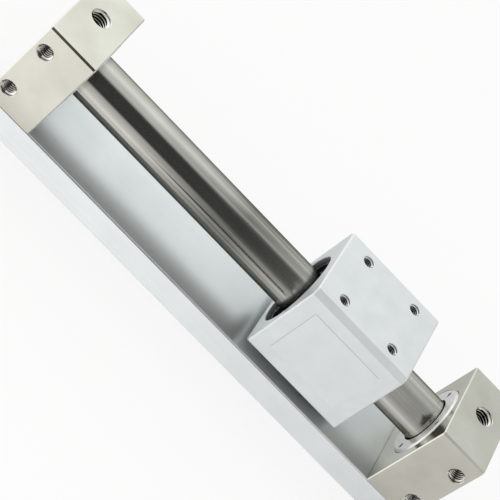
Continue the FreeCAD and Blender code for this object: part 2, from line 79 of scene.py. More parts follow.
# Angles about the tube between which the painted shade of the front takes over from that of the top.
SHADE_TURN = {"From Min": 55.0, "From Max": 70.0}
# Shares of the painted shade's strength in its lightest and its darkest streaks.
SHADE_STREAKS = {"To Min": 0.35, "To Max": 1.65}
# Roughness that the full painted shade adds.
SHADE_BLUR = 0.16
# Half the width of the scored line, in degrees about the tube.
SCORE_HALF = 2.4
# Depth of the scored line.
SCORE_MM = 0.16


class Body(Enum):
    """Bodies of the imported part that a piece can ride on."""

    FRAME = "frame"
    SLIDER = "slider"
    PISTON = "piston"


class Side(Enum):
    """The two ends of the cylinder, seen from the front."""

    LEFT = "left"
    RIGHT = "right"


class Grain(Enum):
    """How the tool or the process that made a surface left its marks."""

    GRIT = "even grit"
    ALONG = "lines along the tube"
    TURNED = "rings about the tube"


def linear(hex_colour: str) -> tuple[float, float, float, float]:
    """Turns an sRGB colour into a linear one, by the standard curve.

    Args:
        hex_colour: number sign and six hex digits.

    Returns:
        Linear red, green, blue and alpha.
    """
    parts = [int(hex_colour[place:place + 2], 16) / 255 for place in (1, 3, 5)]
    steps = [part / 12.92 if part <= 0.04045 else ((part + 0.055) / 1.055) ** 2.4 for part in parts]
    return (steps[0], steps[1], steps[2], 1.0)


def add_node(tree: Tree, kind: str, inputs: Inputs | None = None, **settings: Any) -> bpy.types.Node:
    """Adds a node with its settings, values and links.

    Args:
        tree: node tree of a material or of the world.
        kind: Blender's class name of the node.
        inputs: socket name or number, with a value or with the output socket that feeds it.
        settings: properties of the node itself.

    Returns:
        The new node.
    """
    node = tree.nodes.new(kind)
    for name, value in settings.items():
        setattr(node, name, value)
    for socket, value in (inputs or {}).items():
        if isinstance(value, Socket):
            tree.links.new(value, node.inputs[socket])
        else:
            node.inputs[socket].default_value = value
    return node


def add_profile(tree: Tree, value: Socket, stops: Stops) -> Socket:
    """Adds a curve of straight lines through a row of stops.

    Args:
        tree: node tree of a material.
        value: output socket with the value along the curve.
        stops: value and level of each stop, from low to high.

    Returns:
        The socket that gives the level.
    """
    first, last = stops[0][0], stops[-1][0]
    share = add_node(tree, "ShaderNodeMapRange", {"Value": value, "From Min": first, "From Max": last})
    ramp = add_node(tree, "ShaderNodeValToRGB", {0: share.outputs[0]})
    points = ramp.color_ramp.elements
    points.remove(points[1])
    for at, level in stops:
        place = (at - first) / (last - first)
        point = points.new(place) if place > 0.0 else points[0]
        point.color = (level, level, level, 1.0)
    return ramp.outputs[0]


def add_run(tree: Tree, place: Socket, stops: Stops) -> Socket:
    """Adds a curve through a row of stops along X, given in millimetres.

    Args:
        tree: node tree of a material.
        place: Object coordinates.
        stops: place along X and level of each stop, from low to high.

    Returns:
        The socket that gives the level.
    """
    along = add_node(tree, "ShaderNodeSeparateXYZ", {0: place}).outputs["X"]
    return add_profile(tree, along, tuple((at * MM, level) for at, level in stops))


def axis_height() -> float:
    """Gives the height of the tube's axis, in metres."""
    low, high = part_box("cylinder_tube")
    return (low.z + high.z) / 2


def add_angle(tree: Tree, place: Socket) -> Socket:
    """Adds the angle about the tube in degrees, from straight up towards the front.

    Args:
        tree: node tree of a material.
        place: Object coordinates.

    Returns:
        The socket that gives the angle.
    """
    spot = add_node(tree, "ShaderNodeSeparateXYZ", {0: place}).outputs
    up = add_node(tree, "ShaderNodeMath", {0: spot["Z"], 1: axis_height()}, operation="SUBTRACT")
    front = add_node(tree, "ShaderNodeMath", {0: spot["Y"], 1: -1.0}, operation="MULTIPLY")
    turn = add_node(tree, "ShaderNodeMath", {0: front.outputs[0], 1: up.outputs[0]}, operation="ARCTAN2")
    return add_node(tree, "ShaderNodeMath", {0: turn.outputs[0]}, operation="DEGREES").outputs[0]


def per_metre(size_mm: float) -> float:
    """Gives the texture scale at which one feature has the given size."""
    return 1.0 / (size_mm * MM)


@dataclass(frozen=True)
class Finish:
    """A surface finish, from what the real one is and how it was made.

    Attributes:
        name: common name of the material and its finish, also the material's name.
        light: sRGB colour of its paler places.
        dark: sRGB colour of its darker places.
        patch_mm: size of the cloudy patches between the two.
        smooth: roughness where the surface is smoothest.
        rough: roughness where it is roughest.
        metallic: share of metal in the reflection.
        grain: direction of the marks.
        grain_mm: width of one mark.
        run_mm: length of one mark, for lines.
        octaves: how many finer sizes of marks lie in each mark.
        streak: share of the marks in the colour, beside the patches.
        depth_mm: height of the marks.
        edge_mm: radius at which its edges are broken.
        edge: sRGB colour of the painted highlight on the edges, which are also rubbed smoother.
        edge_wear_and_highlight: how far the edges take that colour.
        edge_bend: cosine of the bend at which an edge is fully rubbed and highlit.
        edge_metallic: share of metal in the reflection of the edges, where they are rubbed dull and carry the
            painted highlight.
        gap_shade: strength of the painted shade in narrow gaps, in corners and next to other parts.
        gap_shade_mm: how far that painted shade reaches out of a corner.
        gap_shade_from: share of open sky above a place at which the painted shade begins.
        upright_shade: share of the painted shade on upright faces; faces that look up get more of it, faces
            that look down less.
        film: place along X and strength of the painted shade on the tube's top, as stops.
        front_shade: the same for the tube's front.
        under_shade: angle about the tube and strength of the painted shade on its lower side, over the rail,
            as stops.
        under_shade_run: place along X and share of that painted shade, as stops.
        score: angle of a scored line along the tube, from straight up to the front.
        score_run: place along X and depth of that line, as stops.
        rim_tint: sRGB tint of the reflection at a flat angle.
    """

    name: str
    light: str
    dark: str
    patch_mm: float
    smooth: float
    rough: float
    metallic: float = 1.0
    grain: Grain = Grain.GRIT
    grain_mm: float = 0.2
    run_mm: float = 40.0
    octaves: float = 2.0
    streak: float = 0.0
    depth_mm: float = 0.002
    edge_mm: float = 0.1
    edge: str = "#F6F6F4"
    edge_wear_and_highlight: float = 0.5
    edge_bend: float = 0.9
    edge_metallic: float | None = None
    gap_shade: float = 0.8
    gap_shade_mm: float = 0.6
    gap_shade_from: float = 0.75
    upright_shade: float | None = None
    film: Stops = ()
    front_shade: Stops = ()
    under_shade: Stops = ()
    under_shade_run: Stops = ()
    score: float | None = None
    score_run: Stops = ()
    rim_tint: str = "#FFFFFF"

    def material(self) -> bpy.types.Material:
        """Builds the node material once and gives it back each time.

        Returns:
            The material.
        """
        found = bpy.data.materials.get(self.name)
        if found:
            return found
        made = bpy.data.materials.new(self.name)
        made.use_nodes = True
        tree = made.node_tree
        place = add_node(tree, "ShaderNodeTexCoord").outputs["Object"]
        grain = {"Vector": self.mark_vector(tree, place), "Scale": 1.0, "Detail": self.octaves}
        marks = add_node(tree, "ShaderNodeTexNoise", grain).outputs[0]
        colour = self.colour(tree, place, marks)
        blur = {"Value": marks, **NOISE_SPAN, "To Min": self.smooth, "To Max": self.rough}
        polish = add_node(tree, "ShaderNodeMapRange", blur).outputs[0]
        edges = self.edges(tree)
        height = {"Height": marks, "Distance": self.depth_mm * MM, "Normal": edges}
        relief = add_node(tree, "ShaderNodeBump", height).outputs[0]
        # The wear mask marks rubbed edges and a painted highlight on them.
        wear = self.wear(tree, edges)
        colour, polish = self.age(tree, wear, colour, polish)
        # Painted shade on the tube, for a finish that has film stops.
        if self.film:
            colour, polish = self.paint_tube_shade(tree, place, marks, colour, polish)
        if self.score is not None:
            relief = self.scratch(tree, place, relief)
        sockets = tree.nodes["Principled BSDF"].inputs
        tree.links.new(colour, sockets["Base Color"])
        tree.links.new(polish, sockets["Roughness"])
        tree.links.new(relief, sockets["Normal"])
        sockets["Metallic"].default_value = self.metallic
        if self.edge_metallic is not None:
            metal = add_node(tree, "ShaderNodeMix", {0: wear, 2: self.metallic, 3: self.edge_metallic})
            tree.links.new(metal.outputs[0], sockets["Metallic"])
        sockets["Specular Tint"].default_value = linear(self.rim_tint)
        return made

    def mark_vector(self, tree: Tree, place: Socket) -> Socket:
        """Stretches the place on the surface to the shape of the marks.

        Args:
            tree: the material's node tree.
            place: Object coordinates.

        Returns:
            A vector in which one mark has the size 1 each way.
        """
        fine = per_metre(self.grain_mm)
        if self.grain is Grain.TURNED:
            axis = (0.0, 0.0, axis_height())
            across = (0.0, 1.0, 1.0)
            kind = "ShaderNodeVectorMath"
            centred = add_node(tree, kind, {0: place, 1: axis}, operation="SUBTRACT").outputs[0]
            flat = add_node(tree, kind, {0: centred, 1: across}, operation="MULTIPLY").outputs[0]
            radius = add_node(tree, kind, {0: flat}, operation="LENGTH").outputs["Value"]
            ring = add_node(tree, "ShaderNodeMath", {0: radius, 1: fine}, operation="MULTIPLY").outputs[0]
            return add_node(tree, "ShaderNodeCombineXYZ", {"X": ring}).outputs[0]
        lengthways = per_metre(self.run_mm) if self.grain is Grain.ALONG else fine
        scale = (lengthways, fine, fine)
        return add_node(tree, "ShaderNodeMapping", {"Vector": place, "Scale": scale}).outputs[0]

    def edges(self, tree: Tree) -> Socket:
        """Breaks the edges, as far as the finish has broken ones.

        Args:
            tree: the material's node tree.

        Returns:
            The normal with broken edges, or the plain normal where there are none.
        """
        if self.edge_mm == 0.0:
            return add_node(tree, "ShaderNodeNewGeometry").outputs["Normal"]
        radius = {"Radius": self.edge_mm * MM}
        return add_node(tree, "ShaderNodeBevel", radius, samples=FEELERS).outputs["Normal"]

    def colour(self, tree: Tree, place: Socket, marks: Socket) -> Socket:
        """Mixes the paler and the darker colour by patches and marks.

        Args:
            tree: the material's node tree.
            place: Object coordinates.
            marks: level of the marks.

        Returns:
            The colour of the new surface.
        """
        clouds = {"Vector": place, "Scale": per_metre(self.patch_mm), "Detail": PATCH_OCTAVES}
        patches = add_node(tree, "ShaderNodeTexNoise", clouds).outputs[0]
        share = add_node(tree, "ShaderNodeMix", {0: self.streak, 2: patches, 3: marks}).outputs[0]
        spread = add_node(tree, "ShaderNodeMapRange", {"Value": share, **NOISE_SPAN}).outputs[0]
        tones = {0: spread, 6: linear(self.light), 7: linear(self.dark)}
        return add_node(tree, "ShaderNodeMix", tones, data_type="RGBA").outputs[2]

    def wear(self, tree: Tree, edges: Socket) -> Socket:
        """Finds the edges by how far the broken normal bends away from the plain one.

        Args:
            tree: the material's node tree.
            edges: normal with broken edges.

        Returns:
            How far each place is rubbed and carries the painted highlight.
        """
        plain = add_node(tree, "ShaderNodeNewGeometry").outputs["Normal"]
        bend = add_node(tree, "ShaderNodeVectorMath", {0: edges, 1: plain}, operation="DOT_PRODUCT")
        span = {"From Min": WEAR_AND_HIGHLIGHT_BEGINS, "From Max": self.edge_bend, "To Max": self.edge_wear_and_highlight}
        return add_node(tree, "ShaderNodeMapRange", {"Value": bend.outputs["Value"], **span}).outputs[0]

    def age(self, tree: Tree, wear: Socket, colour: Socket, polish: Socket) -> tuple[Socket, Socket]:
        """Rubs the edges and lays a painted highlight on them, and paints shade into the narrow gaps and
        corners.

        Args:
            tree: the material's node tree.
            wear: how far each place is rubbed and carries the painted highlight.
            colour: colour of the new surface.
            polish: roughness of the new surface.

        Returns:
            Colour with the painted highlight and the painted shade, and roughness of the surface in use.
        """
        # Painted highlight: the edges are whitened towards the edge colour, and rubbed smoother.
        tones = {0: wear, 6: colour, 7: linear(self.edge)}
        rubbed_and_highlit = add_node(tree, "ShaderNodeMix", tones, data_type="RGBA").outputs[2]
        blur = {0: wear, 2: polish, 3: self.smooth * EDGE_POLISH}
        rubbed = add_node(tree, "ShaderNodeMix", blur).outputs[0]
        # Painted shade: occlusion darkens narrow gaps, corners and faces near other parts.
        reach = {"Distance": self.gap_shade_mm * MM}
        sky = add_node(tree, "ShaderNodeAmbientOcclusion", reach, samples=FEELERS).outputs["AO"]
        span = {"From Min": self.gap_shade_from, "From Max": GAP_SKY, "To Max": self.gap_shade}
        dark = add_node(tree, "ShaderNodeMapRange", {"Value": sky, **span}).outputs[0]
        # The painted shade is kept on a face by how far it looks up.
        if self.upright_shade is not None:
            plain = add_node(tree, "ShaderNodeNewGeometry").outputs["Normal"]
            up = add_node(tree, "ShaderNodeSeparateXYZ", {0: plain}).outputs["Z"]
            held = add_node(tree, "ShaderNodeMath", {0: up, 1: self.upright_shade}, operation="ADD", use_clamp=True)
            upright_inputs = {0: dark, 1: held.outputs[0]}
            dark = add_node(tree, "ShaderNodeMath", upright_inputs, operation="MULTIPLY").outputs[0]
        tones = {0: dark, 6: rubbed_and_highlit, 7: linear(PAINTED_SHADE)}
        return add_node(tree, "ShaderNodeMix", tones, data_type="RGBA").outputs[2], rubbed

    def paint_tube_shade(self, tree: Tree, place: Socket, marks: Socket, colour: Socket,
               polish: Socket) -> tuple[Socket, Socket]:
        """Paints shade on the tube: on its top and front by the place along X, and on its lower side over the
        rail.

        Args:
            tree: the material's node tree.
            place: Object coordinates.
            marks: level of the marks, which the painted shade follows in streaks.
            colour: colour of the surface.
            polish: roughness of the surface.

        Returns:
            Colour with the painted shade, and roughness.
        """
        runs = (self.film, self.front_shade, self.under_shade_run)
        top, front, kept = (add_run(tree, place, stops) for stops in runs)
        angle = add_angle(tree, place)
        turned = add_node(tree, "ShaderNodeMapRange", {"Value": angle, **SHADE_TURN}).outputs[0]
        top_front_shade = add_node(tree, "ShaderNodeMix", {0: turned, 2: top, 3: front}).outputs[0]
        span = {"Value": marks, **NOISE_SPAN, **SHADE_STREAKS}
        streaks = add_node(tree, "ShaderNodeMapRange", span).outputs[0]
        top_front_shade = add_node(tree, "ShaderNodeMath", {0: top_front_shade, 1: streaks}, operation="MULTIPLY").outputs[0]
        below = add_profile(tree, angle, self.under_shade)
        below = add_node(tree, "ShaderNodeMath", {0: below, 1: kept}, operation="MULTIPLY").outputs[0]
        shade_depth = add_node(tree, "ShaderNodeMath", {0: top_front_shade, 1: below}, operation="MAXIMUM").outputs[0]
        tones = {0: shade_depth, 6: colour, 7: linear(TUBE_SHADE)}
        shaded_colour = add_node(tree, "ShaderNodeMix", tones, data_type="RGBA").outputs[2]
        blur = {0: shade_depth, 1: SHADE_BLUR, 2: polish}
        return shaded_colour, add_node(tree, "ShaderNodeMath", blur, operation="MULTIPLY_ADD").outputs[0]

    def scratch(self, tree: Tree, place: Socket, relief: Socket) -> Socket:
        """Scores a fine line along the tube, as a worn drawing die does.

        Args:
            tree: the material's node tree.
            place: Object coordinates.
            relief: normal of the surface.

        Returns:
            The normal with the line.
        """
        angle = add_angle(tree, place)
        stops = ((self.score - SCORE_HALF, 1.0), (self.score, 0.0), (self.score + SCORE_HALF, 1.0))
        groove = add_profile(tree, angle, stops)
        depth = add_run(tree, place, self.score_run)
        cut = {"Strength": depth, "Height": groove, "Distance": SCORE_MM * MM, "Normal": relief}
        return add_node(tree, "ShaderNodeBump", cut).outputs[0]


# Milled block with satin electroless nickel: warm, soft reflections and faint cloudy patches, a white painted
# highlight on its edges, and painted shade where the floor and other parts are near.
SATIN_NICKEL = Finish(
    "satin_nickel_plate", "#EDEBE0", "#DAD8CB", 13.0, 0.17, 0.21, grain_mm=0.12, depth_mm=0.0002,
    edge_mm=0.06, edge="#FFFFFF", edge_wear_and_highlight=0.6, gap_shade=0.42, gap_shade_mm=16.0, gap_shade_from=1.0,
)
# Tapped holes under the same plate: bright crests, painted shade in the depth.
THREAD_NICKEL = Finish(
    "nickel_plated_thread", "#F6F4EE", "#E6E3DA", 2.0, 0.1, 0.16, grain_mm=0.1, depth_mm=0.0004,
    edge_mm=0.03, edge="#FFFFFF", gap_shade=0.96, gap_shade_mm=1.6,
)
# Turned ring with matt nickel: pale, with fine rings about the tube, a white painted highlight on its edges
# and painted shade in its slots and the gap round it.
MATT_NICKEL = Finish(
    "matt_nickel_plate", "#FCFCF9", "#F0F0EC", 3.0, 0.26, 0.36, metallic=0.5, grain=Grain.TURNED,
    grain_mm=0.12, depth_mm=0.001, edge_mm=0.12, edge="#FFFFFF", edge_wear_and_highlight=0.9, gap_shade=0.97, gap_shade_mm=2.0,
    gap_shade_from=0.45,
)
# Drawn stainless tube: long dark and bright bands, with drawing lines that are coarser than real, to show. It
# carries painted shade next to the parts it runs through, and on its top, front and lower side.
DRAWN_STEEL = Finish(
    "drawn_stainless_steel_tube", "#E3E2DB", "#C3C2BA", 9.0, 0.1, 0.2, grain=Grain.ALONG, grain_mm=1.2,
    run_mm=90.0, octaves=4.0, streak=0.8, depth_mm=0.004, edge_mm=0.0, gap_shade=0.75, gap_shade_mm=4.0,
    # Painted shade on the tube's top, front and lower side, by place along X and angle about the tube.
    film=((-38.0, 0.0), (-26.0, 0.14), (-15.0, 0.3), (-8.0, 0.58), (-2.0, 0.58), (10.0, 0.38), (44.0, 0.1)),
    front_shade=((-40.0, 0.0), (-26.0, 0.34), (-14.0, 0.65), (-8.0, 0.7), (10.0, 0.32), (44.0, 0.1)),
    under_shade=(
        (-180.0, 0.9), (-135.0, 0.9), (-120.0, 0.5), (-110.0, 0.5), (-100.0, 0.0), (101.0, 0.0),
        (107.0, 0.62), (112.0, 0.5), (122.0, 0.5), (135.0, 0.9), (180.0, 0.9),
    ),
    under_shade_run=((-60.0, 1.0), (28.0, 1.0), (42.0, 0.1), (56.0, 0.1)),
    score=80.5, score_run=((-36.0, 0.0), (-24.0, 0.7), (-12.0, 1.0), (9.0, 1.0), (12.0, 0.0)),
    # A dark tint of the reflection at a flat angle: painted shade along the tube's outline.
    rim_tint="#A6A6A2",
)
# Blasted, silver anodised block: even and matt, hardly any reflection, with a pale painted highlight on its
# edges and painted shade in its recess and next to other parts.
MATT_ANODISED = Finish(
    "matt_silver_anodised_aluminium", "#E9ECED", "#E1E5E6", 5.0, 0.36, 0.44, metallic=0.5, grain_mm=0.12,
    depth_mm=0.0008, edge_mm=0.22, edge="#FFFFFF", edge_wear_and_highlight=1.0, gap_shade=0.95, gap_shade_mm=6.0, gap_shade_from=0.8,
    upright_shade=1.0,
)
# Threads cut in the slider after anodising: bare bright aluminium.
CUT_ALUMINIUM = Finish(
    "cut_bare_aluminium", "#F2F2F0", "#E8E8E5", 2.0, 0.16, 0.26, grain_mm=0.1, depth_mm=0.0005, edge_mm=0.03,
)
# Extruded rail, etched and clear anodised: blurred reflections, a dull white painted highlight on its edges,
# and painted shade on its top where the tube and the covers are near. Its faint die lines are coarser than
# real, to show.
CLEAR_ANODISED = Finish(
    "clear_anodised_extrusion", "#FBFFFF", "#F0F4F4", 12.0, 0.28, 0.29, metallic=0.86, grain=Grain.ALONG,
    grain_mm=0.8, run_mm=80.0, streak=0.3, depth_mm=0.0001, edge_mm=0.26, edge="#FFFFFF", edge_wear_and_highlight=1.0,
    edge_bend=0.96, edge_metallic=0.0, gap_shade=0.28, gap_shade_mm=16.0, gap_shade_from=1.0, upright_shade=0.0,
)
# Black phosphated spring steel: nearly black with a dull sheen.
BLACK_STEEL = Finish(
    "black_phosphated_spring_steel", "#3A3B3D", "#2A2B2D", 1.5, 0.35, 0.5, metallic=0.6, grain_mm=0.15,
    edge_mm=0.08,
)
# Moulded nitrile rubber: matt black.
RUBBER = Finish(
    "moulded_nitrile_rubber", "#232324", "#1A1A1B", 2.0, 0.55, 0.7, metallic=0.0, grain_mm=0.12,
    depth_mm=0.004,
)
# Cast urethane: amber with a wet-looking skin.
URETHANE = Finish("cast_urethane", "#C9A25B", "#B98F47", 2.0, 0.3, 0.42, metallic=0.0, grain_mm=0.3)
# Moulded black resin: dark grey and dull.
BLACK_RESIN = Finish("moulded_black_resin", "#333436", "#292A2C", 1.5, 0.45, 0.6, metallic=0.0, grain_mm=0.15)
# Filled bearing resin: brown and dull.
WEAR_RESIN = Finish("filled_bearing_resin", "#7E6A4C", "#6E5B40", 1.0, 0.5, 0.65, metallic=0.0, grain_mm=0.1)
# Sintered magnet with nickel plate: bright with a faint grit.
PLATED_MAGNET = Finish("plated_sintered_magnet", "#C9C7C1", "#BDBBB4", 1.5, 0.2, 0.32, grain_mm=0.15)
# Stamped and chromated yoke: dull grey steel.
YOKE_STEEL = Finish("stamped_yoke_steel", "#A9A8A4", "#9A9995", 1.5, 0.35, 0.5)
# Zinc plated steel: bluish grey.
ZINC_PLATE = Finish("zinc_plated_steel", "#C3C6C8", "#B4B8BB", 2.0, 0.28, 0.42)
# Turned steel: bright, with rings about the tube.
TURNED_STEEL = Finish(
    "turned_bright_steel", "#BDBDBB", "#AFAFAD", 2.0, 0.2, 0.32, grain=Grain.TURNED, grain_mm=0.12,
)
# Turned brass: yellow, with rings about the tube.
TURNED_BRASS = Finish("turned_brass", "#D6BA72", "#C9AB60", 2.0, 0.2, 0.32, grain=Grain.TURNED, grain_mm=0.12)
# Thin polyester label film: smooth, in the tone of the block under it.
LABEL_FILM = Finish(
    "matt_label_film", "#E9ECED", "#E3E7E8", 6.0, 0.36, 0.42, metallic=0.5, grain_mm=0.4, depth_mm=0.0005,
    edge_mm=0.03,
)
# Cut edge of the film on its upper and left rim: a fine grey line of painted shade.
LABEL_RIM_SHADE = Finish("label_rim_shade", "#BFC3C5", "#B4B8BA", 3.0, 0.5, 0.6, metallic=0.0, edge_mm=0.02)

# The record's material slots and the finish that each of them gets.
SLOT_FINISHES = {
    "nickel_plated_aluminium": SATIN_NICKEL,
    "bright_nickel": MATT_NICKEL,
    "drawn_stainless_steel": DRAWN_STEEL,
    "anodised_slider": MATT_ANODISED,
    "anodised_rail": CLEAR_ANODISED,
    "black_spring_steel": BLACK_STEEL,
    "nitrile_rubber": RUBBER,
    "urethane": URETHANE,
    "black_resin": BLACK_RESIN,
    "wear_resin": WEAR_RESIN,
    "plated_magnet": PLATED_MAGNET,
    "yoke_steel": YOKE_STEEL,
    "zinc_plated_steel": ZINC_PLATE,
    "turned_steel": TURNED_STEEL,
    "turned_brass": TURNED_BRASS,
}


def dress_nodes(body: Body) -> None:
    """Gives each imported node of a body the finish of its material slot.

    Args:
        body: body whose nodes are dressed.
    """
    for name in frame["record"]["behaviour"]["bodies"][body.value]:
        for slot in frame["nodes"][name].material_slots:
            slot.material = SLOT_FINISHES[slot.material.name].material()
        LOG.info("%s: dressed", name)


def deselect() -> None:
    """Leaves nothing selected, in object mode."""
    bpy.ops.object.select_all(action="DESELECT")


def select_where(piece: Piece, test: Callable[[Vector], bool]) -> None:
    """Selects, in edit mode, the vertices whose place passes a test.

    Args:
        piece: the object in edit mode.
        test: takes a vertex's place and tells whether it is wanted.
    """
    bpy.ops.mesh.select_all(action="DESELECT")
    bpy.ops.object.mode_set(mode="OBJECT")
    for vertex in piece.data.vertices:
        vertex.select = test(vertex.co)
    bpy.ops.object.mode_set(mode="EDIT")


def settle(piece: Piece, place: Matrix) -> None:
    """Puts a piece modelled in millimetres at its place, and keeps that place in its mesh.

    Args:
        piece: the finished piece, at the origin.
        place: where it goes and how it is turned, in metres.
    """
    piece.matrix_world = place @ Matrix.Scale(MM, 4)
    deselect()
    piece.select_set(True)
    bpy.context.view_layer.objects.active = piece
    bpy.ops.object.transform_apply(location=True, rotation=True, scale=True)


def hand_over(piece: Piece, body: Body) -> None:
    """Lets a finished piece ride on its body.

    Args:
        piece: the finished piece, at its place.
        body: body that it rides on.
    """
    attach(piece, body.value)
    LOG.info("%s: %d faces, rides on %s", piece.name, len(piece.data.polygons), body.value)


def mount(name: str) -> dict[str, Any]:
    """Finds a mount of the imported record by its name."""
    return next(found for found in frame["record"]["mounts"] if found["name"] == name)


MIDDLE = (0.0, 0.0, 0.0)
UPWARDS = Matrix.Identity(4)
FORWARDS = Matrix.Rotation(math.pi / 2, 4, "X")


@dataclass(frozen=True)
class Thread:
    """Metric thread of a tapped hole.

    Attributes:
        diameter: outside diameter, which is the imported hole's own.
        pitch: distance from one turn to the next.
        depth: depth of the hole from its face.
        rim: diameter of the countersunk mouth.
        steps: straight steps in one turn.
        sink: how far the turns sit in the hole's wall. They end half of that short of its floor and face.
        smooth_angle: bend in degrees up to which its faces are shaded as one.
    """

    diameter: float
    pitch: float
    depth: float
    rim: float
    steps: int = 56
    sink: float = 0.03
    smooth_angle: float = 35.0

    # shape of a standard internal thread, as shares of the pitch
    HEIGHT = 0.541
    ROOT = 0.92
    CREST = 0.25

    def model(self, name: str) -> Piece:
        """Models the turns of the thread round +Z, with the face of the hole at height 0.

        Args:
            name: name of the new piece.

        Returns:
            The piece, in millimetres.
        """
        deselect()
        height = self.HEIGHT * self.pitch + self.sink
        root = self.ROOT * self.pitch
        bpy.ops.mesh.primitive_plane_add(size=1.0, rotation=(math.pi / 2, 0.0, 0.0))
        piece = bpy.context.object
        piece.name = name
        piece.data.name = name
        bpy.ops.object.transform_apply(rotation=True)
        bpy.ops.object.mode_set(mode="EDIT")
        bpy.ops.mesh.select_all(action="SELECT")
        bpy.ops.transform.resize(value=(height, 1.0, root), center_override=MIDDLE)
        select_where(piece, lambda place: place.x < 0.0)
        bpy.ops.transform.resize(value=(1.0, 1.0, self.CREST / self.ROOT), center_override=MIDDLE)
        bpy.ops.mesh.select_all(action="SELECT")
        middle = self.diameter / 2 + self.sink - height / 2
        bpy.ops.transform.translate(value=(middle, 0.0, (root + self.sink) / 2 - self.depth))
        bpy.ops.mesh.delete(type="ONLY_FACE")
        bpy.ops.object.mode_set(mode="OBJECT")
        self.wind(piece)
        self.trim(piece)
        return piece

    def wind(self, piece: Piece) -> None:
        """Winds the tooth's section into a right-hand helix from the floor of the hole to its face.

        Args:
            piece: outline of the section, next to the floor.
        """
        turns = (self.depth - self.sink) / self.pitch - self.ROOT
        screw = piece.modifiers.new("turns", "SCREW")
        screw.axis = "Z"
        screw.angle = 2 * math.pi * turns
        screw.screw_offset = self.pitch * turns
        screw.steps = round(self.steps * turns)
        screw.render_steps = screw.steps
        bpy.ops.object.modifier_apply(modifier=screw.name)

    def trim(self, piece: Piece) -> None:
        """Closes the two ends of the helix, and countersinks its mouth.

        Args:
            piece: the open helix.
        """
        bpy.ops.object.mode_set(mode="EDIT")
        bpy.ops.mesh.select_all(action="SELECT")
        bpy.ops.mesh.fill_holes(sides=4)
        bpy.ops.mesh.select_all(action="SELECT")
        bpy.ops.mesh.normals_make_consistent(inside=False)
        bpy.ops.object.mode_set(mode="OBJECT")
        for vertex in piece.data.vertices:
            radius = vertex.co.xy.length
            mouth = self.rim / 2 + vertex.co.z + self.sink / 2
            if radius < mouth:
                vertex.co.xy *= mouth / radius
        bpy.ops.object.shade_smooth_by_angle(angle=math.radians(self.smooth_angle))

    def tap(self, places: list[Matrix], name: str, body: Body, finish: Finish, slot: str) -> None:
        """Models the thread once and puts a copy in each hole.

        Args:
            places: place of each hole's mouth, with +Z out of it.
            name: name of the pieces, to which a number is added.
            body: body that they ride on.
            finish: finish of the thread.
            slot: material slot of the tapped block; not used.
        """
        model = self.model(f"{name}_1")
        model.data.materials.append(finish.material())
        copies = [model]
        for number in range(2, len(places) + 1):
            copy = model.copy()
            copy.data = model.data.copy()
            copy.name = f"{name}_{number}"
            bpy.context.scene.collection.objects.link(copy)
            copies.append(copy)
        for copy, place in zip(copies, places):
            settle(copy, place)
            hand_over(copy, body)


@dataclass
class EndCover:
    """End cover with its air port and its two tapped holes.

    Attributes:
        side: end of the cylinder that it closes.
        port_thread: thread of the air port in its top.
        foot_thread: thread of the two holes in its front.
    """

    side: Side
    port_thread: Thread = Thread(diameter=5.0, pitch=0.8, depth=4.49, rim=5.3)
    foot_thread: Thread = Thread(diameter=4.0, pitch=0.7, depth=6.0, rim=4.3)

    def build(self) -> None:
        """Taps the cover's air port and its foot holes."""
        port = Vector(mount(f"{self.side.value}_air_port")["pos_m"])
        port.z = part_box(f"{self.side.value}_end_cover")[1].z
        self.tap(self.port_thread, [Matrix.Translation(port) @ UPWARDS], "air_port_thread")
        feet = mount(f"{self.side.value}_foot_holes")
        half = feet["dims"]["spacing_y_mm"] * MM / 2
        holes = [Vector(feet["pos_m"]) + Vector((0.0, 0.0, up)) for up in (half, -half)]
        places = [Matrix.Translation(hole) @ FORWARDS for hole in holes]
        self.tap(self.foot_thread, places, "foot_hole_thread")

    def tap(self, thread: Thread, places: list[Matrix], name: str) -> None:
        """Taps holes of this cover with its own finish."""
        thread.tap(places, f"{self.side.value}_{name}", Body.FRAME, THREAD_NICKEL, "nickel_plated_aluminium")


